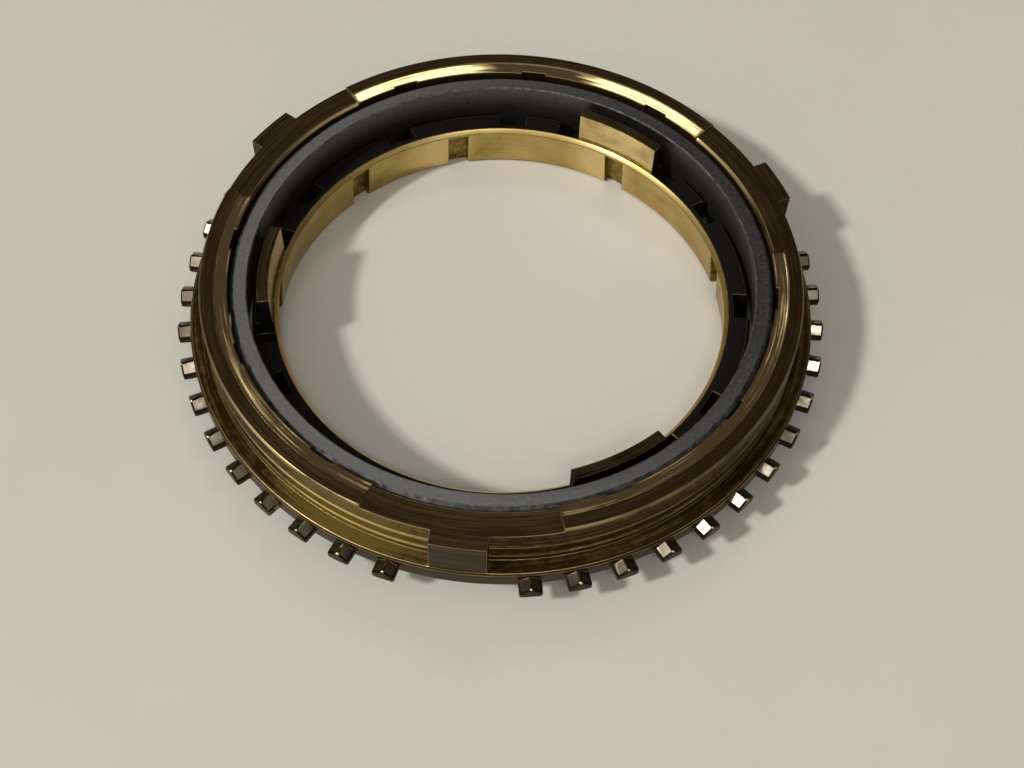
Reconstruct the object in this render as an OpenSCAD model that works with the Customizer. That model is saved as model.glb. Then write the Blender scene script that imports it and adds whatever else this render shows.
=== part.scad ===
// Synchronizer ring set for a gearbox: a toothed brass outer ring, a steel double cone and a brass
// inner ring, nested on one axis. The set stands gear side down, with the axis along +Z and the
// origin on the axis at the resting plane. The first lug points along -Y. Lengths are millimetres.

/* [Friction cones] */
// Half angle of all friction cones, wider towards the gear (degrees)
cone_angle = 6; // [4:0.5:8]
// Diameter of the outer ring's friction cone at the height of its lip
outer_cone_d = 69.4; // [68.6:0.1:70]
// Radial clearance between the outer ring and the double cone
outer_gap = 0.3; // [0.2:0.05:0.6]
// Radial clearance between the double cone and the inner ring
inner_gap = 0.5; // [0.2:0.05:0.8]

/* [Outer ring] */
// Height of the ring's underside above the resting plane
outer_lift = 4.3; // [3.8:0.1:5.2]
// Height of the ring from its underside to its lip
outer_h = 8.6; // [8.2:0.1:9.6]
// Diameter of the turned body
body_d = 76.5; // [75.5:0.1:77.5]
// Diameter of the flange that carries the teeth
flange_d = 80.6; // [79.6:0.1:81.4]
// Thickness of the flange
flange_t = 2.5; // [2.2:0.1:3]
// Radial width of the raised lip
lip_w = 1.9; // [1.4:0.1:2.4]
// Step from the lip down to the polished band inside it
band_step = 0.15; // [0.05:0.05:0.3]
// Further fall of the band towards the cone
band_fall = 0.15; // [0:0.05:0.3]
// Number of turned grooves round the body
wall_groove_count = 2; // [0:1:2]
// Height of the lowest turned groove above the flange
wall_groove_h = 1.1; // [0.7:0.1:1.5]
// Height from one turned groove to the next
wall_groove_pitch = 2; // [1.2:0.1:2.2]
// Width of a turned groove
wall_groove_w = 0.6; // [0.3:0.1:0.9]
// Depth of a turned groove
wall_groove_depth = 0.3; // [0.1:0.05:0.5]
// Number of places for oil grooves in the outer cone, the lugs' own places included
outer_groove_count = 12; // [6:3:18]
// Width of an axial oil groove
outer_groove_w = 3.3; // [2:0.1:4.5]
// Depth of an axial oil groove
outer_groove_depth = 0.35; // [0.2:0.05:0.8]
// Chamfer on the ring's turned edges
edge_chamfer = 0.2; // [0.1:0.05:0.35]

/* [Teeth] */
// Number of tooth places round the flange
tooth_places = 45; // [39:3:51]
// Number of tooth places left empty at each lug
empty_places = 2; // [1:1:4]
// Diameter over the tooth tips
tip_d = 84; // [83:0.2:86]
// Width of a tooth
tooth_w = 2.8; // [2:0.1:3.2]
// Height of a tooth's upright flank
tooth_flank_h = 1; // [0.6:0.1:1.1]
// Height of the pointed roof above the flanks
tooth_roof_h = 1; // [0.6:0.1:1.1]

/* [Lugs] */
// Number of lugs that the hub drives
lug_count = 3; // [3:1:4]
// Width of a lug
lug_w = 6.8; // [5:0.1:9]
// Diameter over the lugs
lug_d = 80.1; // [79:0.1:80.5]
// Arc of the milled pad behind each lug (degrees)
pad_angle = 36; // [24:1:48]
// Depth of the milled pad below the lip
pad_drop = 0.45; // [0.35:0.05:0.8]
// Chamfer on the pad's inner edge
pad_chamfer = 0.35; // [0.1:0.05:0.5]

/* [Double cone] */
// Radial thickness of the double cone
cone_wall = 2.2; // [1.8:0.1:2.6]
// Height of the double cone's rim below the lip
rim_drop = 0.9; // [0.7:0.05:1.8]
// Chamfer on the rim's outer edge
rim_chamfer = 0.45; // [0.2:0.05:0.8]
// Chamfer on the rim's inner edge
rim_inner_chamfer = 0.2; // [0.1:0.05:0.5]
// Number of drive tabs that enter the gear
drive_tab_count = 6; // [3:1:8]
// Arc of a drive tab (degrees)
drive_tab_angle = 16; // [8:1:24]
// Height of a drive tab
drive_tab_h = 2.6; // [1.8:0.1:3.2]
// Step from the double cone's faces back to a drive tab's faces
drive_tab_inset = 0.25; // [0.15:0.05:0.5]

/* [Inner ring] */
// Diameter of the conical bore at its wide lower end
bore_d = 59.4; // [59:0.02:60]
// Height of the inner ring without its tabs
inner_h = 6.9; // [6:0.1:7.6]
// Chamfer on the inner ring's edges
inner_chamfer = 0.35; // [0.15:0.05:0.5]
// Chamfer on the bore's upper edge
bore_chamfer = 0.55; // [0.3:0.05:0.6]
// Turn of the inner ring against the lugs (degrees)
inner_turn_angle = 34.5; // [0:0.5:119.5]
// Number of upright tabs
tab_count = 3; // [2:1:3]
// Arc of an upright tab (degrees)
tab_angle = 23; // [14:1:28]
// Height of an upright tab
tab_h = 4.4; // [2.5:0.1:5]
// Radial thickness of an upright tab
tab_t = 1.45; // [1:0.05:1.8]
// Step from the bore's upper edge back to the tab
tab_step = 0.8; // [0.7:0.05:1.1]
// Arc of the relief at each end of a tab (degrees)
relief_angle = 6; // [3:0.5:7]
// Depth of the relief at the ends of a tab
relief_depth = 2.4; // [1:0.1:4]
// Width of the land between the relief and the bore's upper edge
relief_land = 0.65; // [0.62:0.01:0.68]
// Width of an oil groove in the bore
bore_groove_w = 2.8; // [1.6:0.1:3.4]
// Depth of an oil groove in the bore
bore_groove_depth = 1; // [0.5:0.1:1.2]
// Land left between a bore groove and the inner ring's top
bore_groove_land = 0.8; // [0.7:0.1:2]
// Angle from a tab's middle to the bore groove at each side (degrees)
bore_groove_angle = 45; // [43:1:47]
// Number of places for oil grooves round the outside, the tabs' own places included
outside_groove_count = 12; // [6:6:12]
// Width of an oil groove round the outside
outside_groove_w = 3.8; // [2.4:0.1:4.4]
// Depth of an oil groove round the outside
outside_groove_depth = 2.1; // [0.8:0.1:2.3]

/* [Hidden] */
$fn = 96;
brass = "#8C7032";
bright_brass = "#B9933F";
steel = "#6E6E72";
// Overlap that lets joined shapes fuse and cuts run through
over = 1;
slope = tan(cone_angle);
body_r = body_d / 2;
flange_r = flange_d / 2;
lip_z = outer_lift + outer_h;
flange_z = outer_lift + flange_t;
pad_z = lip_z - pad_drop;
rim_z = lip_z - rim_drop;
lug_pitch = 360 / lug_count;
tooth_pitch = 360 / tooth_places;
teeth_per_group = floor(tooth_places / lug_count) - empty_places;
first_lug = -90;
tab_pitch = 360 / tab_count;
first_tab = first_lug + lug_pitch + inner_turn_angle;
tab_in_r = bore_r(inner_h) + tab_step;

// Radius of each friction surface at height z
function outer_cone_r(z) = outer_cone_d / 2 + (lip_z - z) * slope;
function cone_out_r(z) = outer_cone_r(z) - outer_gap;
function cone_in_r(z) = cone_out_r(z) - cone_wall;
function inner_out_r(z) = cone_in_r(z) - inner_gap;
function bore_r(z) = bore_d / 2 - z * slope;

// Section of the turned groove at height z, from its lower edge to its upper edge
function wall_groove(z) = [
    [body_r, z - wall_groove_w / 2],
    [body_r - wall_groove_depth, z - wall_groove_w / 6],
    [body_r - wall_groove_depth, z + wall_groove_w / 6],
    [body_r, z + wall_groove_w / 2]
];

// Part of a turned section that covers the given arc, centred on the azimuth
module arc(azimuth, angle) {
    rotate([0, 0, azimuth - angle / 2]) rotate_extrude(angle = angle) children();
}

// Radial block of the given width, from radius r0 to r1 and height z0 to z1, at the azimuth
module radial_block(azimuth, width, r0, r1, z0, z1) {
    rotate([0, 0, azimuth]) translate([r0, -width / 2, z0]) cube([r1 - r0, width, z1 - z0]);
}

// Turned body of the outer ring with lip, polished band, flange and friction cone, begun at a lug
module outer_blank() {
    e = edge_chamfer;
    band_z = lip_z - band_step - band_fall;
    lip_in_r = body_r - lip_w;
    grooves = [
        for (i = [0 : 1 : wall_groove_count - 1])
            each wall_groove(flange_z + wall_groove_h + i * wall_groove_pitch)
    ];
    rotate([0, 0, first_lug]) rotate_extrude() polygon(concat(
        [
            [outer_cone_r(outer_lift + e), outer_lift + e],
            [outer_cone_r(outer_lift) + e, outer_lift],
            [flange_r - e, outer_lift],
            [flange_r, outer_lift + e],
            [flange_r, flange_z - e],
            [flange_r - e, flange_z],
            [body_r, flange_z]
        ],
        grooves,
        [
            [body_r, lip_z - e],
            [body_r - e, lip_z],
            [lip_in_r, lip_z],
            [lip_in_r, lip_z - band_step],
            [outer_cone_r(band_z), band_z]
        ]
    ));
}

// Tooth along +X with a pointed roof whose ridge runs radially
module tooth() {
    root_r = flange_r - over;
    translate([root_r, 0, outer_lift]) rotate([90, 0, 90]) linear_extrude(tip_d / 2 + over - root_r)
        polygon([
            [-tooth_w / 2, 0],
            [tooth_w / 2, 0],
            [tooth_w / 2, tooth_flank_h],
            [0, tooth_flank_h + tooth_roof_h],
            [-tooth_w / 2, tooth_flank_h]
        ]);
}

// Groups of teeth between the lugs, turned to the tip diameter
module teeth() {
    group_start = (lug_pitch - (teeth_per_group - 1) * tooth_pitch) / 2;
    intersection() {
        union() for (group = [0 : lug_count - 1], i = [0 : teeth_per_group - 1])
            rotate([0, 0, first_lug + group * lug_pitch + group_start + i * tooth_pitch]) tooth();
        translate([0, 0, outer_lift - over]) cylinder(d = tip_d, h = outer_h);
    }
}

// Lug that stands out of the body above the flange
module lug(azimuth) {
    intersection() {
        radial_block(azimuth, lug_w, body_r - over, lug_d / 2 + over, flange_z - over, lip_z);
        translate([0, 0, outer_lift]) cylinder(d = lug_d, h = outer_h + over);
    }
}

// Milled pad across a lug and the lip behind it, with a chamfer along the edge over the cone
module pad_cut(azimuth) {
    edge_r = outer_cone_r(pad_z);
    arc(azimuth, pad_angle) polygon([
        [edge_r - over, pad_z - pad_chamfer - over],
        [edge_r + pad_chamfer, pad_z],
        [lug_d / 2 + over, pad_z],
        [lug_d / 2 + over, lip_z + over],
        [edge_r - over, lip_z + over]
    ]);
}

// Axial oil groove that follows the outer ring's cone
module outer_oil_groove(azimuth) {
    intersection() {
        radial_block(azimuth, outer_groove_w, bore_d / 2, body_r, outer_lift - over, lip_z + over);
        translate([0, 0, outer_lift - over]) cylinder(
            r1 = outer_cone_r(outer_lift - over) + outer_groove_depth,
            r2 = outer_cone_r(lip_z + over) + outer_groove_depth,
            h = outer_h + 2 * over
        );
    }
}

// Toothed brass ring with lugs for the hub
module outer_ring() {
    grooves_per_lug = outer_groove_count / lug_count;
    color(brass) difference() {
        union() {
            outer_blank();
            teeth();
            for (k = [0 : lug_count - 1]) lug(first_lug + k * lug_pitch);
        }
        for (k = [0 : lug_count - 1]) pad_cut(first_lug + k * lug_pitch);
        for (k = [0 : lug_count - 1]) for (i = [1 : grooves_per_lug - 1])
            outer_oil_groove(first_lug + k * lug_pitch + i * 360 / outer_groove_count);
    }
}

// Steel ring with a friction cone on both sides and drive tabs for the gear
module double_cone() {
    tab_in = cone_in_r(drive_tab_h);
    tab_out = cone_out_r(drive_tab_h);
    c = rim_chamfer;
    b = rim_inner_chamfer;
    color(steel) union() {
        rotate_extrude() polygon([
            [tab_in, drive_tab_h],
            [tab_out, drive_tab_h],
            [cone_out_r(rim_z - c), rim_z - c],
            [cone_out_r(rim_z) - c, rim_z],
            [cone_in_r(rim_z) + b, rim_z],
            [cone_in_r(rim_z - b), rim_z - b]
        ]);
        for (k = [0 : drive_tab_count - 1]) arc(first_lug + k * 360 / drive_tab_count, drive_tab_angle)
            translate([tab_in + drive_tab_inset, 0])
            square([tab_out - tab_in - 2 * drive_tab_inset, drive_tab_h + over]);
    }
}

// Turned body of the inner ring with its conical bore
module inner_blank() {
    c = inner_chamfer;
    rotate_extrude() polygon([
        [bore_r(c), c],
        [bore_r(0) + c, 0],
        [inner_out_r(0) - c, 0],
        [inner_out_r(c), c],
        [inner_out_r(inner_h - c), inner_h - c],
        [inner_out_r(inner_h) - c, inner_h],
        [bore_r(inner_h) + bore_chamfer, inner_h],
        [bore_r(inner_h - bore_chamfer), inner_h - bore_chamfer]
    ]);
}

// Upright tab that stands on the inner ring, left long at both ends for the reliefs to trim
module upright_tab(azimuth) {
    arc(azimuth, tab_angle + relief_angle)
        translate([tab_in_r, inner_h - over]) square([tab_t, tab_h + over]);
}

// Oil groove that follows the bore
module bore_oil_groove(azimuth) {
    groove_top = inner_h - bore_groove_land;
    intersection() {
        radial_block(azimuth, bore_groove_w, tab_in_r / 2, inner_out_r(0), -over, groove_top);
        translate([0, 0, -over]) cylinder(
            r1 = bore_r(-over) + bore_groove_depth,
            r2 = bore_r(inner_h) + bore_groove_depth,
            h = inner_h + over
        );
    }
}

// Oil groove that follows the inner ring's outside
module outside_oil_groove(azimuth) {
    difference() {
        radial_block(azimuth, outside_groove_w, bore_d / 2 - over, body_r, -over, inner_h + over);
        translate([0, 0, -2 * over]) cylinder(
            r1 = inner_out_r(-2 * over) - outside_groove_depth,
            r2 = inner_out_r(inner_h + 2 * over) - outside_groove_depth,
            h = inner_h + 4 * over
        );
    }
}

// Relief that trims one end of a tab and goes down behind the bore's edge
module tab_relief(azimuth, side) {
    relief_r = bore_r(inner_h) + relief_land;
    arc(azimuth + side * (tab_angle + relief_angle) / 2, relief_angle)
        translate([relief_r, inner_h - relief_depth])
        square([body_r - relief_r, relief_depth + tab_h + over]);
}

// Brass ring inside the double cone, with upright tabs and oil grooves on both sides
module inner_ring() {
    places_per_tab = outside_groove_count / tab_count;
    color(bright_brass) difference() {
        union() {
            inner_blank();
            for (k = [0 : tab_count - 1]) upright_tab(first_tab + k * tab_pitch);
        }
        for (k = [0 : tab_count - 1]) {
            for (side = [-1 : 1]) bore_oil_groove(first_tab + k * tab_pitch + side * bore_groove_angle);
            for (side = [-1, 1]) tab_relief(first_tab + k * tab_pitch, side);
            for (i = [1 : places_per_tab - 1])
                outside_oil_groove(first_tab + k * tab_pitch + i * 360 / outside_groove_count);
        }
    }
}

outer_ring();
double_cone();
inner_ring();
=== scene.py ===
import math

import bmesh
import bpy
from bpy.props import FloatProperty, FloatVectorProperty, IntProperty, PointerProperty
from mathutils import Euler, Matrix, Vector


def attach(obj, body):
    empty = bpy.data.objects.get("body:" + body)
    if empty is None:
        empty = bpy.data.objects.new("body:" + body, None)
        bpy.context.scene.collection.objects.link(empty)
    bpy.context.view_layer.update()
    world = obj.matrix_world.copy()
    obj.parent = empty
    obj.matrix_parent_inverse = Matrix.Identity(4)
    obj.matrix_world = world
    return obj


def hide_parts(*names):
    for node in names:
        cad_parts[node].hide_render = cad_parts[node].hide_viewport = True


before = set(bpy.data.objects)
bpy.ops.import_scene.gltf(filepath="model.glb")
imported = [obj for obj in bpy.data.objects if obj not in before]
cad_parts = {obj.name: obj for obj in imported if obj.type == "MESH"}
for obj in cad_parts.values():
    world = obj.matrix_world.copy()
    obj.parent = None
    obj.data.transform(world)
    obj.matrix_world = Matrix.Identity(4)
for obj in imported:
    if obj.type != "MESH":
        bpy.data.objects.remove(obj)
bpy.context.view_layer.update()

bl_info = {
    "name": "Synchronizer ring set",
    "version": (1, 0, 0),
    "blender": (4, 5, 0),
    "location": "View3D > Sidebar > Synchronizer",
    "description": "Builds a synchronizer ring set: toothed outer ring, double cone and inner ring",
    "category": "Object",
}

MM = 0.001


# Settings

def linear(code):
    """Linear red, green and blue of an sRGB hex code such as #C8A860."""
    shares = [int(code[i:i + 2], 16) / 255 for i in (1, 3, 5)]
    return tuple(s / 12.92 if s <= 0.04045 else ((s + 0.055) / 1.055) ** 2.4 for s in shares)


def length(name, description, mm):
    """A length, given in millimetres and kept in metres."""
    return FloatProperty(name=name, description=description, default=mm * MM, min=0, precision=5,
                         unit="LENGTH")


def angle(name, description, degrees):
    """An angle, given in degrees."""
    return FloatProperty(name=name, description=description, default=math.radians(degrees), unit="ROTATION")


def count(name, description, number):
    """A number of like features."""
    return IntProperty(name=name, description=description, default=number, min=1, subtype="UNSIGNED")


def tint(name, description, code):
    """A colour, given as the hex code seen on screen."""
    return FloatVectorProperty(name=name, description=description, default=linear(code), min=0, max=1,
                               subtype="COLOR")


class SYNCRING_PG_cones(bpy.types.PropertyGroup):
    """The friction cones that the three rings share."""

    slope: angle("Cone slope", "Slope of every friction cone from the axis", 6)
    mouth_r: length("Outer cone radius", "Radius of the outer ring's cone at the top of the lip", 34.7)
    outer_gap: length("Outer gap", "Gap between the outer ring and the double cone", 0.3)
    inner_gap: length("Inner gap", "Gap between the double cone and the inner ring", 0.5)


class SYNCRING_PG_outer_ring(bpy.types.PropertyGroup):
    """The toothed outer ring."""

    lift: length("Lift", "Height of the ring's underside over the table", 4.3)
    height: length("Height", "Height of the ring from its underside to its lip", 8.6)
    body_r: length("Body radius", "Radius of the wall over the flange", 38.25)
    flange_r: length("Flange radius", "Radius of the flange between the teeth", 40.3)
    flange_t: length("Flange thickness", "Thickness of the flange", 2.5)
    lip_w: length("Lip width", "Width of the flat lip", 1.9)
    band_step: length("Band step", "Step down from the lip to the burnished band", 0.15)
    band_fall: length("Band fall", "Further fall of the band towards the cone", 0.15)
    edge: length("Edge chamfer", "Chamfer on the turned edges", 0.2)
    wall_groove_lift: length("Wall groove lift", "Height of the lower wall groove over the flange", 1.1)
    wall_groove_pitch: length("Wall groove pitch", "Pitch of the two wall grooves", 2)
    wall_groove_w: length("Wall groove width", "Width of each wall groove", 0.6)
    wall_groove_depth: length("Wall groove depth", "Depth of each wall groove", 0.3)
    oil_grooves: count("Oil grooves",
                       "Number of places for the oil grooves in the cone, those at the lugs left out", 12)
    oil_groove_w: length("Oil groove width", "Width of each oil groove", 3.3)
    oil_groove_depth: length("Oil groove depth", "Depth of each oil groove", 0.35)
    tooth_places: count("Tooth places", "Number of tooth places round the flange", 45)
    tip_r: length("Tooth tip radius", "Radius over the teeth", 42)
    tooth_w: length("Tooth width", "Width of each tooth", 2.8)
    flank_h: length("Tooth flank height", "Height of each tooth's upright flanks", 1)
    roof_h: length("Tooth roof height", "Height of each tooth's roof over its flanks", 1)
    lugs: count("Lugs", "Number of lugs", 3)
    lug_w: length("Lug width", "Width of each lug", 6.8)
    lug_r: length("Lug radius", "Radius over the lugs", 40.05)
    pad_arc: angle("Pad arc", "Arc of the milled pad at each lug", 36)
    pad_drop: length("Pad drop", "Depth of each pad under the lip", 0.45)
    pad_chamfer: length("Pad chamfer", "Chamfer between a pad and the cone", 0.35)


class SYNCRING_PG_double_cone(bpy.types.PropertyGroup):
    """The steel double cone."""

    wall: length("Wall", "Wall of the cone", 2.2)
    rim_drop: length("Rim drop", "Depth of the rim under the outer ring's lip", 0.9)
    rim_chamfer: length("Rim chamfer", "Chamfer outside the rim", 0.45)
    rim_inner_chamfer: length("Rim inner chamfer", "Chamfer inside the rim", 0.2)
    tabs: count("Drive tabs", "Number of drive tabs under the cone", 6)
    tab_arc: angle("Drive tab arc", "Arc of each drive tab", 16)
    tab_h: length("Drive tab height", "Height of each drive tab", 2.6)
    tab_inset: length("Drive tab inset", "Step from the cone's wall to each drive tab", 0.25)


class SYNCRING_PG_inner_ring(bpy.types.PropertyGroup):
    """The inner ring with its upright tabs."""

    bore_r: length("Bore radius", "Radius of the bore at the bottom", 29.7)
    height: length("Height", "Height of the ring under its tabs", 6.9)
    edge: length("Edge chamfer", "Chamfer on the ring's edges", 0.35)
    bore_edge: length("Bore chamfer", "Chamfer on the bore's upper edge", 0.55)
    turn: angle("Turn", "Turn of the ring from the outer ring's lugs", 34.5)
    tabs: count("Tabs", "Number of upright tabs", 3)
    tab_arc: angle("Tab arc", "Arc of each tab", 23)
    tab_h: length("Tab height", "Height of each tab over the ring", 4.4)
    tab_t: length("Tab thickness", "Thickness of each tab", 1.45)
    tab_step: length("Tab step", "Step from the bore to each tab", 0.8)
    relief_arc: angle("Relief arc", "Arc of the relief at each side of a tab", 6)
    relief_depth: length("Relief depth", "Depth of each relief", 2.4)
    relief_land: length("Relief land", "Land between the bore and each relief", 0.65)
    bore_groove_w: length("Bore groove width", "Width of each groove in the bore", 2.8)
    bore_groove_depth: length("Bore groove depth", "Depth of each groove in the bore", 1)
    bore_groove_land: length("Bore groove land", "Land between each bore groove and the ring's top", 0.8)
    bore_groove_turn: angle("Bore groove turn", "Turn of the side grooves from each tab", 45)
    notches: count("Notches", "Number of places for the notches outside, those at the tabs left out", 12)
    notch_w: length("Notch width", "Width of each notch outside", 3.8)
    notch_depth: length("Notch depth", "Depth of each notch outside", 2.1)


class SYNCRING_PG_finish(bpy.types.PropertyGroup):
    """Colours and wear."""

    brass: tint("Bare brass", "Colour of clean brass", "#DCC184")
    gold: tint("Oiled brass", "Colour of brass under a thin film of old oil", "#A28740")
    amber: tint("Turned wall", "Colour of the outer ring's wall under old oil", "#7F6C3C")
    patina: tint("Patina", "Colour of the brown oxide on old brass", "#4C3E29")
    umber: tint("Baked oil", "Colour of brown oil baked on the outer ring's wall", "#3A2B12")
    soot: tint("Burnt oil", "Colour of burnt oil on brass", "#342816")
    burnt: tint("Burnt brass", "Colour of the burnt tooth sides", "#261E13")
    tooth: tint("Worn teeth", "Colour of the teeth where the sleeve has worn them", "#8F8777")
    steel: tint("Steel", "Colour of ground steel", "#858581")
    smoked: tint("Smoked steel", "Colour of steel under a dark film", "#3C3B39")
    coat: tint("Friction coat", "Colour of the sintered friction coat", "#0B0906")
    floor: tint("Table", "Colour of the table", "#C6C3B8")
    worn_edge: length("Worn edge", "Width of the worn edges", 0.06)
    rounded_edge: length("Rounded edge", "Width of the teeth's rounded edges", 0.25)


# Mesh building

# Points that agree to this length are one point.
SAME_PLACE = 0.001 * MM
# Sides closer than this, in degrees, are one side.
SAME_SIDE = 0.05
# Two sections of a sector are at most this far apart, in degrees.
COLUMN_STEP = 1
# A sector this much over a whole number of steps gets no extra section.
STEP_SLACK = 1e-6
# Edges that turn by more than this are sharp.
SHARP = math.radians(25)


def straight_side(centre, side, width, least_r):
    """Side of a parallel sided feature: its azimuth in degrees at a radius."""
    return lambda r: centre + side * math.degrees(math.asin(width / 2 / max(r, least_r)))


def radial_side(centre, side, arc):
    """Side of a feature that spans an arc: its azimuth in degrees at a radius."""
    return lambda r: centre + side * math.degrees(arc) / 2


def both_sides(make, centre, *sizes):
    """The two sides of a feature."""
    return [make(centre, -1, *sizes), make(centre, 1, *sizes)]


def off_nearest(azimuth, first, pitch):
    """Degrees from the nearest of a row of places to an azimuth."""
    return (azimuth - first + pitch / 2) % pitch - pitch / 2


def sectored_ring(name, sides, section, wall_zone, sort_r, round_r=math.inf):
    """Closed ring whose section changes at the sides of its features.

    section(azimuth, middle) lists the rows of the section at an azimuth of the sector with that middle,
    each as radius, height and the zone of the surface from it to the next row. wall_zone(first, last) is
    the zone of a wall between two sectors, given the first and the last row in which they differ. The
    sides come in the order of their azimuths at sort_r. Sharp edges are marked as worn ones, those that
    reach beyond round_r as rounded ones.
    """
    bm = bmesh.new()
    made = {}

    def vertex(azimuth, row):
        """The vertex of a row at an azimuth, made only once."""
        a = math.radians(azimuth)
        place = (row[0] * math.cos(a), row[0] * math.sin(a), row[1])
        key = tuple(round(c / SAME_PLACE) for c in place)
        if key not in made:
            made[key] = bm.verts.new(place)
        return made[key]

    def face(loop, zone):
        """A face round a loop of vertices, those that repeat left out."""
        corners = [v for i, v in enumerate(loop) if v is not loop[i - 1]]
        if len(corners) > 2:
            new = bm.faces.new(corners)
            new.material_index = zone
            new.smooth = True

    ordered = []
    for side in sorted(sides, key=lambda s: s(sort_r) % 360):
        azimuth = side(sort_r) % 360
        if not ordered or azimuth - ordered[-1][0] > SAME_SIDE:
            ordered.append((azimuth, lambda r, s=side, turn=azimuth - side(sort_r): s(r) + turn))
    ordered.append((ordered[0][0] + 360, lambda r, s=ordered[0][1]: s(r) + 360))
    sectors = [(a, b, (a[0] + b[0]) / 2) for a, b in zip(ordered, ordered[1:])]

    for start, end, middle in sectors:
        steps = max(1, math.ceil((end[0] - start[0]) / COLUMN_STEP - STEP_SLACK))
        columns = []
        for k in range(steps + 1):
            share = k / steps
            rows = section(start[0] + (end[0] - start[0]) * share, middle)
            columns.append([(vertex(start[1](row[0]) * (1 - share) + end[1](row[0]) * share, row), row[2])
                            for row in rows])
        for here, there in zip(columns, columns[1:]):
            for i in range(len(here)):
                below, above = i - 1, i
                face([here[below][0], there[below][0], there[above][0], here[above][0]], here[below][1])

    # Walls close the steps between one sector's section and the next one's.
    for (_, side, before), (_, _, after) in zip(sectors, sectors[1:] + sectors[:1]):
        first = [vertex(side[1](row[0]), row) for row in section(side[0], before)]
        second = [vertex(side[1](row[0]), row) for row in section(side[0], after)]
        i = 1
        while i < len(first):
            if first[i] is second[i]:
                i += 1
                continue
            start = i
            while i < len(first) and first[i] is not second[i]:
                i += 1
            face([first[start - 1], *first[start:i], first[i % len(first)], *reversed(second[start:i])],
                 wall_zone(start, i - 1))

    bmesh.ops.recalc_face_normals(bm, faces=bm.faces)
    worn, rounded = (bm.edges.layers.float.new(mark) for mark in ("worn_edge", "rounded_edge"))
    for edge in bm.edges:
        if edge.calc_face_angle(0) > SHARP:
            edge[rounded if max(v.co.xy.length for v in edge.verts) > round_r else worn] = 1
    mesh = bpy.data.meshes.new(name)
    bm.to_mesh(mesh)
    bm.free()
    ring = bpy.data.objects.new(name, mesh)
    bpy.context.scene.collection.objects.link(ring)
    return ring


def dress(ring, materials, node, body, finish, worn_zone=-1, rounded_zone=-1):
    """Gives a ring its materials, worn edges and place in the frame.

    A zone of -1 leaves the edges in the zones beside them.
    """
    for material in materials:
        ring.data.materials.append(material)
    for mark, width, zone in (("rounded_edge", finish.rounded_edge, rounded_zone),
                              ("worn_edge", finish.worn_edge, worn_zone)):
        edges = ring.modifiers.new(mark, "BEVEL")
        edges.width = width
        edges.segments = 3
        edges.limit_method = "WEIGHT"
        edges.edge_weight = mark
        edges.use_clamp_overlap = False
        edges.material = zone
    ring.modifiers.new("Flat faces", "WEIGHTED_NORMAL")
    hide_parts(node)
    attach(ring, body)


# Shapes of the three rings

# Azimuth of the first lug, in degrees.
FIRST_LUG = -90
# Tooth places left empty at each lug.
EMPTY_PLACES = 2
# Profile of a wall groove: shares of its width from its middle, each with a share of its depth.
GROOVE_PROFILE = ((-0.5, 0), (-0.17, 1), (0.17, 1), (0.5, 0))


def cone_radius(cones, outer):
    """Radius of the outer ring's cone at a height."""
    top = outer.lift + outer.height
    return lambda z: cones.mouth_r + (top - z) * math.tan(cones.slope)


# Zones of the outer ring, in the order of its materials.
PATINA, WALL, BAND, TEETH, CONE, BARE, LEDGE, BURNT = range(8)


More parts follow.
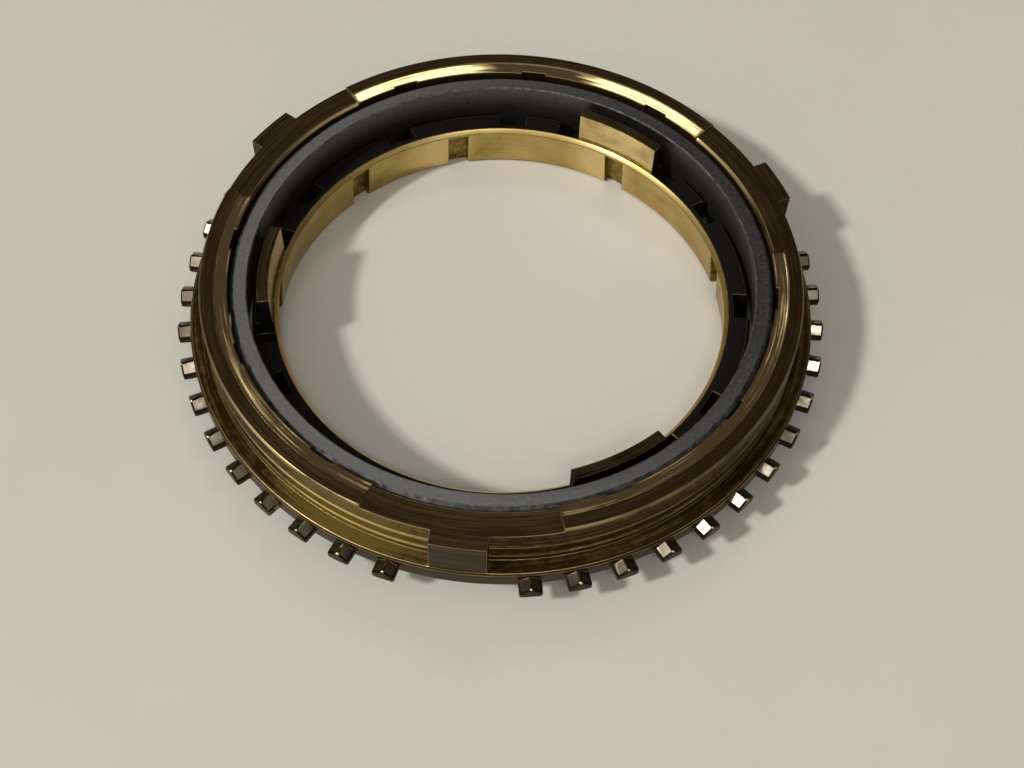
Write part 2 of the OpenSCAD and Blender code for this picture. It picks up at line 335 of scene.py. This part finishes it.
def outer_ring_shape(s, cone):
    """Sides, section and wall zones of the outer ring."""
    lug_pitch = 360 / s.lugs
    tooth_pitch = 360 / s.tooth_places
    per_lug = s.tooth_places // s.lugs
    tooth_places = [tooth_pitch * (k + (EMPTY_PLACES + 1) / 2) for k in range(per_lug - EMPTY_PLACES)]
    groove_places = [360 / s.oil_grooves * (k + 1) for k in range(s.oil_grooves // s.lugs - 1)]
    bottom = s.lift
    ledge = s.lift + s.flange_t
    top = s.lift + s.height
    pad = top - s.pad_drop
    lip_in = s.body_r - s.lip_w
    band_r = cone(top) + s.oil_groove_depth
    band_z = top - s.band_step - s.band_fall * (lip_in - band_r) / (lip_in - cone(top))
    tooth_half = math.degrees(math.asin(s.tooth_w / 2 / s.flange_r))
    lug_half = math.degrees(math.asin(s.lug_w / 2 / s.lug_r))
    groove_half = math.degrees(math.asin(s.oil_groove_w / 2 / cone(bottom)))
    flange_edge = s.flange_r - s.lug_r

    sides = []
    for lug in range(s.lugs):
        at = FIRST_LUG + lug * lug_pitch
        sides += both_sides(straight_side, at, s.lug_w, s.body_r)
        sides += both_sides(radial_side, at, s.pad_arc)
        for place in tooth_places:
            sides += both_sides(straight_side, at + place, s.tooth_w, s.flange_r)
            sides.append(radial_side(at + place, 1, 0))
        for place in groove_places:
            sides += both_sides(straight_side, at + place, s.oil_groove_w, 0)

    lower = ledge + s.wall_groove_lift
    wall_rows = []
    for middle in (lower, lower + s.wall_groove_pitch):
        for reach, depth in GROOVE_PROFILE:
            wall_rows.append((middle + reach * s.wall_groove_w, depth * s.wall_groove_depth))

    def section(azimuth, middle):
        """Rows from the cone's foot out round the flange, up the wall, over the lip and down the cone."""
        from_lug = (middle - FIRST_LUG) % lug_pitch
        place = min(tooth_places, key=lambda t: abs(t - from_lug))
        is_tooth = abs(place - from_lug) < tooth_half
        is_lug = abs(off_nearest(middle, FIRST_LUG, lug_pitch)) < lug_half
        is_pad = abs(off_nearest(middle, FIRST_LUG, lug_pitch)) < math.degrees(s.pad_arc) / 2
        is_groove = min(abs(from_lug - g) for g in groove_places) < groove_half
        deep = s.oil_groove_depth if is_groove else 0
        off_ridge = abs(off_nearest(azimuth, FIRST_LUG + place, lug_pitch)) / tooth_half
        roof = bottom + s.flank_h + s.roof_h * (1 - min(1, off_ridge))
        rows = [(cone(bottom) + s.oil_groove_depth, bottom, PATINA)]
        if is_tooth:
            rows += [(s.flange_r - s.edge, bottom, PATINA),
                     (s.tip_r, bottom, BURNT),
                     (s.tip_r, roof, TEETH),
                     (s.flange_r, roof, PATINA)]
        else:
            rows += [(s.flange_r - s.edge, bottom, PATINA),
                     (s.flange_r, bottom + s.edge, PATINA),
                     (s.flange_r, bottom + s.edge, PATINA),
                     (s.flange_r, bottom + s.flank_h, PATINA)]
        rows += [(s.flange_r, ledge - flange_edge, PATINA), (s.lug_r, ledge, PATINA if is_lug else LEDGE)]
        if is_lug:
            rows.append((s.lug_r, ledge, PATINA))
            rows += [(s.lug_r, z, PATINA) for z, _ in wall_rows]
            rows.append((s.lug_r, pad, PATINA))
        else:
            rows.append((s.body_r, ledge, WALL))
            rows += [(s.body_r - depth, z, WALL) for z, depth in wall_rows]
            rows.append((s.body_r, pad, WALL))
        # A pad has as many rows as the lip and the band, so that walls can join them.
        if is_pad:
            rows += [(s.body_r, pad, PATINA),
                     (s.body_r - s.edge, pad, PATINA),
                     (lip_in, pad, PATINA),
                     (lip_in - 2 * s.edge, pad, PATINA),
                     (cone(pad) + s.oil_groove_depth, pad, PATINA)]
            mouth = (cone(pad) + s.pad_chamfer, pad, BAND)
        else:
            rows += [(s.body_r, top - s.edge, BARE),
                     (s.body_r - s.edge, top, PATINA),
                     (lip_in, top, PATINA),
                     (lip_in, top - s.band_step, BAND),
                     (band_r, band_z, BAND)]
            mouth = (cone(top - s.band_step - s.band_fall), top - s.band_step - s.band_fall, CONE)
        rows.append(rows[-1] if is_groove else mouth)
        chamfer_end = pad - s.pad_chamfer
        rows += [(cone(z) + deep, z, CONE) for z in (chamfer_end, (2 * chamfer_end + bottom) / 3,
                                                   (chamfer_end + 2 * bottom) / 3)]
        rows.append((cone(bottom) + deep, bottom, CONE))
        return rows

    # Rows under and round a tooth, then those of the flange's edge and the ledge, of the wall up to the
    # pad's height, and of the lip and the band. The rest are the cone's.
    tooth_rows, ledge_rows, lip_rows = 5, 3, 5
    cone_start = tooth_rows + ledge_rows + len(wall_rows) + 1 + lip_rows

    def wall_zone(first, last):
        """Zone of the walls at the teeth, in the oil grooves and elsewhere."""
        if last < tooth_rows:
            return BURNT
        return CONE if first >= cone_start else PATINA

    return sides, section, wall_zone


# Zones of the double cone, in the order of its materials.
STEEL, SMOKED, LAPPED = range(3)


def double_cone_shape(s, cones, outer, cone):
    """Sides, section and wall zones of the double cone."""
    pitch = 360 / s.tabs
    rim = outer.lift + outer.height - s.rim_drop
    # Two rows between keep the long faces short.
    between = (5 * MM, 7 * MM)

    def outside(z):
        """Radius of the outer cone at a height."""
        return cone(z) - cones.outer_gap

    def inside(z):
        """Radius of the inner cone at a height."""
        return outside(z) - s.wall

    sides = []
    for tab in range(s.tabs):
        sides += both_sides(radial_side, FIRST_LUG + tab * pitch, s.tab_arc)

    def section(azimuth, middle):
        """Rows from the rim down the inside, round the foot and up the outside."""
        is_tab = abs(off_nearest(middle, FIRST_LUG, pitch)) < math.degrees(s.tab_arc) / 2
        foot = 0 if is_tab else s.tab_h
        heel, toe = inside(s.tab_h) + s.tab_inset, outside(s.tab_h) - s.tab_inset
        inner_rows = (rim - s.rim_inner_chamfer, *reversed(between), s.tab_h)
        outer_rows = (s.tab_h, *between, rim - s.rim_chamfer)
        rows = [(inside(rim) + s.rim_inner_chamfer, rim, SMOKED)]
        rows += [(inside(z), z, LAPPED) for z in inner_rows]
        rows += [(r, z, SMOKED) for r, z in ((heel, s.tab_h), (heel, foot), (toe, foot), (toe, s.tab_h))]
        rows += [(outside(z), z, SMOKED) for z in outer_rows]
        rows.append((outside(rim) - s.rim_chamfer, rim, STEEL))
        return rows

    return sides, section, lambda first, last: SMOKED


# Zones of the inner ring, in the order of its materials.
BORE, COAT, BRIGHT, TAB, STAIN = range(5)


def inner_ring_shape(s, cones, outer, double, cone):
    """Sides, section and wall zones of the inner ring."""
    tab_pitch = 360 / s.tabs
    first_tab = FIRST_LUG + math.degrees(s.turn)
    notch_pitch = 360 / s.notches
    groove_turn = math.degrees(s.bore_groove_turn)
    slope = math.tan(cones.slope)
    top = s.height
    tab_top = s.height + s.tab_h
    relief = s.height - s.relief_depth
    groove_top = s.height - s.bore_groove_land

    def bore(z):
        """Radius of the bore at a height."""
        return s.bore_r - z * slope

    def outside(z):
        """Radius of the outside at a height."""
        return cone(z) - cones.outer_gap - double.wall - cones.inner_gap

    def notch(z):
        """Radius of a notch's floor at a height."""
        return outside(z) - s.notch_depth

    tab_in = bore(top) + s.tab_step
    tab_out = tab_in + s.tab_t
    land_r = bore(top) + s.relief_land
    tab_half = math.degrees(s.tab_arc) / 2
    relief_half = tab_half + math.degrees(s.relief_arc)
    groove_half = math.degrees(math.asin(s.bore_groove_w / 2 / bore(top)))
    notch_half = math.degrees(math.asin(s.notch_w / 2 / notch(top)))
    grooves = (-groove_turn, 0, groove_turn)
    notches = [notch_pitch * (k + 1) for k in range(s.notches // s.tabs - 1)]

    sides = []
    for tab in range(s.tabs):
        at = first_tab + tab * tab_pitch
        sides += both_sides(radial_side, at, s.tab_arc)
        sides += both_sides(radial_side, at, s.tab_arc + 2 * s.relief_arc)
        for groove in grooves:
            sides += both_sides(straight_side, at + groove, s.bore_groove_w, 0)
        for place in notches:
            sides += both_sides(straight_side, at + place, s.notch_w, 0)

    def section(azimuth, middle):
        """Rows from the bore's foot out to the outside, up it, over the top or a tab and down the bore."""
        from_tab = off_nearest(middle, first_tab, tab_pitch)
        is_tab = abs(from_tab) < tab_half
        is_relief = not is_tab and abs(from_tab) < relief_half
        is_groove = min(abs(from_tab - g) for g in grooves) < groove_half
        is_notch = min(abs((middle - first_tab) % tab_pitch - n) for n in notches) < notch_half
        wall = notch if is_notch else outside
        deep = s.bore_groove_depth if is_groove else 0
        foot = (bore(0) + s.bore_groove_depth, 0, BORE)
        rows = [foot, (notch(0), 0, COAT)]
        rows.append((notch(0), 0, COAT) if is_notch else (outside(0) - s.edge, 0, COAT))
        rows += [(wall(z), z, COAT) for z in (s.edge, (s.edge + relief) / 2, relief)]
        if is_relief:
            rows += [rows[-1], rows[-1],
                     (tab_out, relief, COAT), (tab_out, relief, COAT),
                     (notch(top), relief, COAT), (land_r, relief, BORE)]
        else:
            rows.append((wall(top - s.edge), top - s.edge, COAT))
            rim = (notch(top), top, COAT)
            rows.append(rim if is_notch else (outside(top) - s.edge, top, COAT))
            rows.append(rim if is_notch else (tab_out, top, TAB if is_tab else COAT))
            rows.append((tab_out, tab_top, TAB) if is_tab else rows[-1])
            rows.append((tab_in, tab_top, BRIGHT) if is_tab else rim)
            rows.append((tab_in, top, COAT))
        rows += [(land_r, top, COAT),
                 (bore(top) + s.bore_edge, top, BORE),
                 (bore(top - s.bore_edge), top - s.bore_edge, BORE)]
        lining = STAIN if is_groove else BORE
        rows.append((bore(groove_top), groove_top, lining))
        rows += [(bore(z) + deep, z, lining) for z in (groove_top, top / 2, s.edge)]
        rows.append(foot if is_groove else (bore(0) + s.edge, 0, BORE))
        return rows

    # Rows of the underside and the outside, then those of a tab and the top. The rest are the bore's.
    outside_rows, top_rows = 8, 6

    def wall_zone(first, last):
        """Zone of the walls in the bore's grooves, at the tabs and outside."""
        if first >= outside_rows + top_rows:
            return STAIN
        return TAB if first >= outside_rows else COAT

    return sides, section, wall_zone


# Materials

# Colour sockets of a mix node, by number because each kind of value repeats their names.
MIX_FIRST, MIX_SECOND, MIX_RESULT = 6, 7, 2


def toward(azimuth, elevation):
    """Direction at an azimuth and an elevation in degrees."""
    a, e = math.radians(azimuth), math.radians(elevation)
    return Vector((math.cos(a) * math.cos(e), math.sin(a) * math.cos(e), math.sin(e)))


def add(tree, kind, inputs=None, **settings):
    """Adds a node to a tree, with its settings, its constants and its links."""
    node = tree.nodes.new(kind)
    for key, value in settings.items():
        setattr(node, key, value)
    for key, value in (inputs or {}).items():
        if isinstance(value, bpy.types.NodeSocket):
            tree.links.new(value, node.inputs[key])
        else:
            node.inputs[key].default_value = value
    return node


def new_material(name):
    """An empty material, with its node tree."""
    material = bpy.data.materials.new(name)
    material.use_nodes = True
    material.node_tree.nodes.clear()
    return material, material.node_tree


def rgba(colour):
    """A colour for a socket."""
    return (*colour, 1)


def turning_lines(tree, pitch, run):
    """Noise drawn out round the axis, as a lathe leaves it: lines a pitch apart in height and radius."""
    place = add(tree, "ShaderNodeTexCoord").outputs["Object"]
    flat = add(tree, "ShaderNodeVectorMath", {0: place, 1: (1, 1, 0)}, operation="MULTIPLY")
    radius = add(tree, "ShaderNodeVectorMath", {0: flat.outputs[0]}, operation="LENGTH")
    lines = add(tree, "ShaderNodeVectorMath", {0: place, 1: (1 / run, 1 / run, 1 / pitch)},
                operation="MULTIPLY")
    across = add(tree, "ShaderNodeMath", {0: radius.outputs["Value"], 1: 1 / pitch}, operation="MULTIPLY")
    return add(tree, "ShaderNodeTexNoise", {"Vector": lines.outputs[0], "W": across.outputs[0], "Scale": 1,
                                            "Detail": 3, "Roughness": 0.6}, noise_dimensions="4D").outputs[0]


def blotches(tree, size, detail=4):
    """Noise with spots of a size."""
    place = add(tree, "ShaderNodeTexCoord").outputs["Object"]
    return add(tree, "ShaderNodeTexNoise", {"Vector": place, "Scale": 1 / size, "Detail": detail,
                                            "Roughness": 0.6}).outputs[0]


def wear_along(way, start, end, first, last):
    """Wear that changes along a direction."""
    return "DOT_PRODUCT", way, start, end, first, last


def wear_round(point, start, end, first, last):
    """Wear that changes with the distance from a point."""
    return "DISTANCE", point, start, end, first, last


def aged_metal(name, bare, film, cover, lines, bare_rough, film_rough, spot=3 * MM, soft=0.12, relief=0.25,
               wear=()):
    """Turned metal under a film that covers a share of it in spots and along its turning lines.

    lines is the share of the turning lines in that pattern, and soft is half the width of the film's
    edge in it. Each wear lifts the film by its first value up to its start and by its last value from its
    end on, and the more the film is lifted the barer the metal.
    """
    material, tree = new_material(name)
    # Real turning lines are about 0.1 mm apart; they are drawn 0.3 mm apart so that they still show.
    streaks = turning_lines(tree, pitch=0.3 * MM, run=12 * MM)
    spots = blotches(tree, size=spot)
    grain = blotches(tree, size=0.25 * MM, detail=2)
    level = add(tree, "ShaderNodeMix", {"Factor": lines, "A": spots, "B": streaks}).outputs[0]
    for measure, vector, start, end, first, last in wear:
        place = add(tree, "ShaderNodeTexCoord").outputs["Object"]
        reading = add(tree, "ShaderNodeVectorMath", {0: place, 1: vector}, operation=measure).outputs["Value"]
        lift = add(tree, "ShaderNodeMapRange", {"Value": reading, "From Min": start, "From Max": end,
                                                "To Min": first, "To Max": last})
        level = add(tree, "ShaderNodeMath", {0: level, 1: lift.outputs[0]}, operation="ADD").outputs[0]
    # The noise lies mostly within this span, and the film where the noise is low.
    low, span = 0.35, 0.3
    middle = low + span * cover
    mask = add(tree, "ShaderNodeMapRange", {"Value": level, "From Min": middle - soft,
                                            "From Max": middle + soft, "To Min": 1, "To Max": 0}).outputs[0]
    mix = add(tree, "ShaderNodeMix", {"Factor": mask, MIX_FIRST: rgba(bare), MIX_SECOND: rgba(film)},
              data_type="RGBA")
    rough = add(tree, "ShaderNodeMapRange", {"Value": mask, "To Min": bare_rough, "To Max": film_rough})
    height = add(tree, "ShaderNodeMix", {"Factor": 0.5, "A": streaks, "B": grain})
    bump = add(tree, "ShaderNodeBump", {"Height": height.outputs[0], "Strength": relief,
                                        "Distance": 0.03 * MM})
    shader = add(tree, "ShaderNodeBsdfPrincipled", {"Base Color": mix.outputs[MIX_RESULT], "Metallic": 1,
                                                    "Roughness": rough.outputs[0],
                                                    "Normal": bump.outputs[0]})
    add(tree, "ShaderNodeOutputMaterial", {"Surface": shader.outputs[0]})
    return material


def friction_coat(f):
    """Sintered friction coat: matt charcoal grains, with brass where the tops are worn off."""
    material, tree = new_material("Friction coat, sintered")
    grains = blotches(tree, size=0.35 * MM, detail=3)
    spots = blotches(tree, size=2.5 * MM)
    both = add(tree, "ShaderNodeMix", {"Factor": 0.5, "A": grains, "B": spots})
    worn = add(tree, "ShaderNodeMapRange", {"Value": both.outputs[0], "From Min": 0.66, "From Max": 0.8})
    mix = add(tree, "ShaderNodeMix", {"Factor": worn.outputs[0], MIX_FIRST: rgba(f.coat),
                                      MIX_SECOND: rgba(f.patina)}, data_type="RGBA")
    bump = add(tree, "ShaderNodeBump", {"Height": grains, "Strength": 0.7, "Distance": 0.08 * MM})
    shader = add(tree, "ShaderNodeBsdfPrincipled", {"Base Color": mix.outputs[MIX_RESULT], "Roughness": 0.7,
                                                    "Specular IOR Level": 0.15,
                                                    "Normal": bump.outputs[0]})
    add(tree, "ShaderNodeOutputMaterial", {"Surface": shader.outputs[0]})
    return material


def table_top(f):
    """Laminate table: pale warm grey with a faint cloud and a low gloss."""
    material, tree = new_material("Laminate, satin")
    cloud = blotches(tree, size=40 * MM)
    shade = add(tree, "ShaderNodeMapRange", {"Value": cloud, "To Min": 0.96, "To Max": 1.04})
    colour = add(tree, "ShaderNodeVectorMath", {0: f.floor, "Scale": shade.outputs[0]}, operation="SCALE")
    shader = add(tree, "ShaderNodeBsdfPrincipled", {"Base Color": colour.outputs[0], "Roughness": 0.42})
    add(tree, "ShaderNodeOutputMaterial", {"Surface": shader.outputs[0]})
    return material


# Operators

class SYNCRING_OT_outer_ring(bpy.types.Operator):
    """Builds the toothed outer ring with its lugs, pads and grooved cone"""

    bl_idname = "syncring.outer_ring"
    bl_label = "Outer ring"

    def execute(self, context):
        scene = context.scene
        s, f = scene.syncring_outer, scene.syncring_finish
        shape = outer_ring_shape(s, cone_radius(scene.syncring_cones, s))
        # Only the teeth reach past the flange, so only their edges are rounded.
        past_flange = s.flange_r + 0.1 * MM
        ring = sectored_ring("toothed_outer_ring", *shape, sort_r=s.flange_r, round_r=past_flange)
        # The wall and the ledge are barer and lighter at the front left, facing the key lamp, and darker
        # elsewhere: painted light and shade.
        front_left_painted_light = [wear_round(toward(250, 12) * 39 * MM, start=2 * MM, end=15 * MM, first=0.2, last=-0.06)]
        # The outer ends of the teeth's ridges lie farthest from a point deep under the ring.
        ridge_ends = [wear_round((0, 0, -60 * MM), start=78.2 * MM, end=78.4 * MM, first=0, last=0.6)]
        materials = [
            # Old brass left to darken: brown and half dull, with fine turning lines; darker towards the
            # right, a painted shade that damps the lip's sheen there.
            aged_metal("Brass, oxidised", f.patina, f.soot, cover=0.6, lines=0.8,
                       bare_rough=0.4, film_rough=0.42, spot=6 * MM, soft=0.08,
                       wear=[wear_along(toward(-20, 0), start=20 * MM, end=35 * MM, first=0, last=-0.08)]),
            # Turned wall under baked oil: gold lines over brown, with painted light at the front left.
            aged_metal("Brass, turned", f.amber, f.umber, cover=0.55, lines=0.65,
                       bare_rough=0.5, film_rough=0.55, spot=1.5 * MM, soft=0.1, wear=front_left_painted_light),
            # Band burnished by use: bare and mirror bright at the back, a painted reflection of the back lamp
            # there, but for one dull spot; brown elsewhere.
            aged_metal("Brass, burnished", f.brass, f.patina, cover=0.95, lines=0.75,
                       bare_rough=0.18, film_rough=0.4, spot=8 * MM,
                       wear=[wear_along(toward(95, 0), start=12 * MM, end=30 * MM, first=0, last=0.3),
                             wear_round((0.5 * MM, 35.5 * MM, 12.6 * MM), start=3 * MM, end=10 * MM,
                                        first=-0.5, last=0)]),
            # Tooth roofs worn by the sleeve: grey and half bright; the barer roofs at the right are a painted
            # glint.
            aged_metal("Brass, worn teeth", f.tooth, f.soot, cover=0.35, lines=0.2,
                       bare_rough=0.25, film_rough=0.4, spot=2.5 * MM, soft=0.2,
                       wear=[wear_along(toward(-2, 0), start=39.5 * MM, end=41.2 * MM, first=0, last=0.4)]),
            # Friction cone lapped in oil: matt and dark, the dark partly painted shade in the gap between the
            # outer ring and the double cone.
            aged_metal("Brass, lapped", f.patina, f.soot, cover=0.5, lines=0.8,
                       bare_rough=0.6, film_rough=0.7),
            # Edges rubbed by handling: thin light lines, barest at the front left, where they paint the key
            # lamp's glint on the lip's edge.
            aged_metal("Brass, rubbed edge", f.brass, f.patina, cover=0.75, lines=0.3,
                       bare_rough=0.25, film_rough=0.4, spot=9 * MM, soft=0.3,
                       wear=[wear_round(toward(230, 20) * 40 * MM, start=2 * MM, end=8 * MM,
                                        first=0.3, last=-0.05)]),
            # Ledge under baked oil: duller than the wall, with the same painted light at the front left.
            aged_metal("Brass, turned ledge", f.amber, f.umber, cover=0.6, lines=0.65,
                       bare_rough=0.55, film_rough=0.6, spot=1.5 * MM, soft=0.1, wear=front_left_painted_light),
            # Tooth sides burnt by heat: nearly black, with the ridges' outer ends rubbed bare.
            aged_metal("Brass, burnt", f.brass, f.burnt, cover=1.2, lines=0.2,
                       bare_rough=0.25, film_rough=0.4, spot=3 * MM, soft=0.1, wear=ridge_ends),
        ]
        dress(ring, materials, "outer_ring", "rings", f, worn_zone=BARE, rounded_zone=BURNT)
        return {"FINISHED"}


class SYNCRING_OT_double_cone(bpy.types.Operator):
    """Builds the steel double cone with its drive tabs"""

    bl_idname = "syncring.double_cone"
    bl_label = "Double cone"

    def execute(self, context):
        scene = context.scene
        cones, outer, f = scene.syncring_cones, scene.syncring_outer, scene.syncring_finish
        shape = double_cone_shape(scene.syncring_double, cones, outer, cone_radius(cones, outer))
        ring = sectored_ring("steel_double_cone", *shape, sort_r=cones.mouth_r)
        materials = [
            # Ground rim: a dull grey, lightest along the outer edge and at the left.
            aged_metal("Steel, ground", f.steel, f.smoked, cover=0.9, lines=0.3,
                       bare_rough=0.42, film_rough=0.5, spot=0.5 * MM, soft=0.5, relief=0.12,
                       wear=[wear_round((6 * MM, 3 * MM, -30 * MM), start=50 * MM, end=56 * MM,
                                        first=-0.25, last=0.4)]),
            # Outside of the cone, with its chamfers and tabs: matt and almost black.
            aged_metal("Steel, smoked", f.steel, f.smoked, cover=0.8, lines=0.3,
                       bare_rough=0.65, film_rough=0.75, spot=1 * MM, soft=0.2, relief=0.12),
            # Inside lapped by the inner ring: an even grey under a thin film.
            aged_metal("Steel, lapped", f.steel, f.smoked, cover=0.35, lines=0.3,
                       bare_rough=0.42, film_rough=0.5, spot=0.5 * MM, soft=0.5, relief=0.12),
        ]
        dress(ring, materials, "double_cone", "cone", f)
        return {"FINISHED"}


class SYNCRING_OT_inner_ring(bpy.types.Operator):
    """Builds the inner ring with its tabs, grooved bore and notched outside"""

    bl_idname = "syncring.inner_ring"
    bl_label = "Inner ring"

    def execute(self, context):
        scene = context.scene
        cones, outer, f = scene.syncring_cones, scene.syncring_outer, scene.syncring_finish
        s = scene.syncring_inner
        shape = inner_ring_shape(s, cones, outer, scene.syncring_double, cone_radius(cones, outer))
        ring = sectored_ring("tabbed_inner_ring", *shape, sort_r=s.bore_r)
        # The film is thicker towards the front, so the faces there are darker.
        dark_front = [wear_along(toward(75, 0), start=-27 * MM, end=-12 * MM, first=-0.35, last=0.05)]
        # The lands beside the two far grooves are bared: painted highlights for the bore's bright strips
        # there.
        land_painted_highlights = [wear_round(toward(azimuth, 8) * 29.5 * MM, start=2 * MM, end=6 * MM, first=0.4, last=0)
                      for azimuth in (115, 69)]
        materials = [
            # Bored cone: clean gold with faint turning lines, and painted highlights beside the two far
            # grooves.
            aged_metal("Brass, bored", f.brass, f.gold, cover=0.8, lines=0.3,
                       bare_rough=0.3, film_rough=0.38, spot=6 * MM, soft=0.25, relief=0.12,
                       wear=land_painted_highlights),
            friction_coat(f),
            # Tab faces polished by wear: the lightest brass.
            aged_metal("Brass, polished by wear", f.brass, f.patina, cover=0.1, lines=0.3,
                       bare_rough=0.25, film_rough=0.4, spot=4 * MM, soft=0.25, relief=0.12,
                       wear=dark_front),
            # Tab tops under burnt oil: brown black with a dull shine.
            aged_metal("Brass, burnt tabs", f.patina, f.coat, cover=0.45, lines=0.7,
                       bare_rough=0.4, film_rough=0.5, spot=4 * MM, soft=0.15),
            # Groove floors stained by old oil: mottled brown.
            aged_metal("Brass, stained by oil", f.gold, f.soot, cover=0.45, lines=0.2,
                       bare_rough=0.4, film_rough=0.5, spot=1 * MM, soft=0.2, wear=dark_front),
        ]
        dress(ring, materials, "inner_ring", "rings", f, worn_zone=STAIN)
        return {"FINISHED"}


# Half the table's width, in metres.
TABLE_REACH = 1.5
# The table lies a hair under the rings, so that no two faces share a plane.
TABLE_DROP = 0.02 * MM
# The camera at the photo's viewpoint: lens in millimetres, place in metres, turn in degrees.
CAMERA_LENS = 50.6569
CAMERA_PLACE = (0.012719, -0.112519, 0.157416)
CAMERA_TURN = (33.4209, -0.9861, 7.0855)


def lamp(name, azimuth, elevation, distance, size, watts):
    """A soft white lamp that looks at the rings."""
    light = bpy.data.lights.new(name, "AREA")
    light.shape = "RECTANGLE"
    light.size, light.size_y = size
    light.energy = watts
    holder = bpy.data.objects.new(name, light)
    way = toward(azimuth, elevation)
    holder.location = way * distance
    holder.rotation_euler = way.to_track_quat("Z", "Y").to_euler()
    bpy.context.scene.collection.objects.link(holder)
    return holder


class SYNCRING_OT_stage(bpy.types.Operator):
    """Sets the table, the lamps and the camera"""

    bl_idname = "syncring.stage"
    bl_label = "Stage"

    def execute(self, context):
        scene = context.scene
        mesh = bpy.data.meshes.new("Table")
        corners = [(-1, -1), (1, -1), (1, 1), (-1, 1)]
        mesh.from_pydata([(x * TABLE_REACH, y * TABLE_REACH, 0) for x, y in corners], [], [(0, 1, 2, 3)])
        mesh.materials.append(table_top(scene.syncring_finish))
        table = bpy.data.objects.new("Table", mesh)
        table.location.z = -TABLE_DROP
        scene.collection.objects.link(table)
        lamp("Key lamp", azimuth=-146, elevation=45, distance=5, size=(0.42, 0.42), watts=168)
        lamp("Back lamp", azimuth=97, elevation=56, distance=0.8, size=(0.24, 0.12), watts=0.4)
        lamp("Front lamp", azimuth=-74, elevation=54.6, distance=0.8, size=(0.17, 0.07), watts=0.9)

        world = bpy.data.worlds.new("Room")
        world.use_nodes = True
        tree = world.node_tree
        tree.nodes.clear()
        way = add(tree, "ShaderNodeTexCoord").outputs["Generated"]
        # The room is bright in front of the rings and dim behind them.
        facing = add(tree, "ShaderNodeVectorMath", {0: way, 1: toward(-105, 20)}, operation="DOT_PRODUCT")
        glow = add(tree, "ShaderNodeMapRange", {"Value": facing.outputs["Value"], "From Min": -0.3,
                                                "From Max": 1, "To Min": 0.1, "To Max": 0.76})
        sky = add(tree, "ShaderNodeBackground", {"Color": rgba(linear("#F4F2EC")),
                                                 "Strength": glow.outputs[0]})
        add(tree, "ShaderNodeOutputWorld", {"Surface": sky.outputs[0]})
        scene.world = world

        camera = bpy.data.cameras.new("Camera")
        camera.lens = CAMERA_LENS
        camera.sensor_width = 36
        camera.clip_start = 5 * MM
        holder = bpy.data.objects.new("Camera", camera)
        holder.location = CAMERA_PLACE
        holder.rotation_euler = Euler([math.radians(a) for a in CAMERA_TURN], "XYZ")
        scene.collection.objects.link(holder)
        scene.camera = holder
        scene.view_settings.view_transform = "Standard"
        return {"FINISHED"}


class SYNCRING_PT_panel(bpy.types.Panel):
    """Sidebar panel of the synchronizer ring set"""

    bl_idname = "SYNCRING_PT_panel"
    bl_label = "Synchronizer ring set"
    bl_space_type = "VIEW_3D"
    bl_region_type = "UI"
    bl_category = "Synchronizer"

    def draw(self, context):
        for name in GROUPS:
            box = self.layout.box()
            group = getattr(context.scene, name)
            box.label(text=name.removeprefix("syncring_").capitalize())
            for key in group.__annotations__:
                box.prop(group, key)
        for operator in OPERATORS:
            self.layout.operator(operator.bl_idname)


GROUPS = {
    "syncring_cones": SYNCRING_PG_cones,
    "syncring_outer": SYNCRING_PG_outer_ring,
    "syncring_double": SYNCRING_PG_double_cone,
    "syncring_inner": SYNCRING_PG_inner_ring,
    "syncring_finish": SYNCRING_PG_finish,
}
OPERATORS = (SYNCRING_OT_outer_ring, SYNCRING_OT_double_cone, SYNCRING_OT_inner_ring, SYNCRING_OT_stage)


def register():
    """Adds the settings, the operators and the panel."""
    for name, group in GROUPS.items():
        bpy.utils.register_class(group)
        setattr(bpy.types.Scene, name, PointerProperty(type=group))
    for cls in (*OPERATORS, SYNCRING_PT_panel):
        bpy.utils.register_class(cls)


def unregister():
    """Takes out what register adds."""
    for cls in reversed((*OPERATORS, SYNCRING_PT_panel)):
        bpy.utils.unregister_class(cls)
    for name, group in reversed(GROUPS.items()):
        delattr(bpy.types.Scene, name)
        bpy.utils.unregister_class(group)


def main():
    """Builds the rings and the stage."""
    register()
    bpy.ops.syncring.outer_ring()
    bpy.ops.syncring.double_cone()
    bpy.ops.syncring.inner_ring()
    bpy.ops.syncring.stage()


if __name__ == "__main__":
    main()
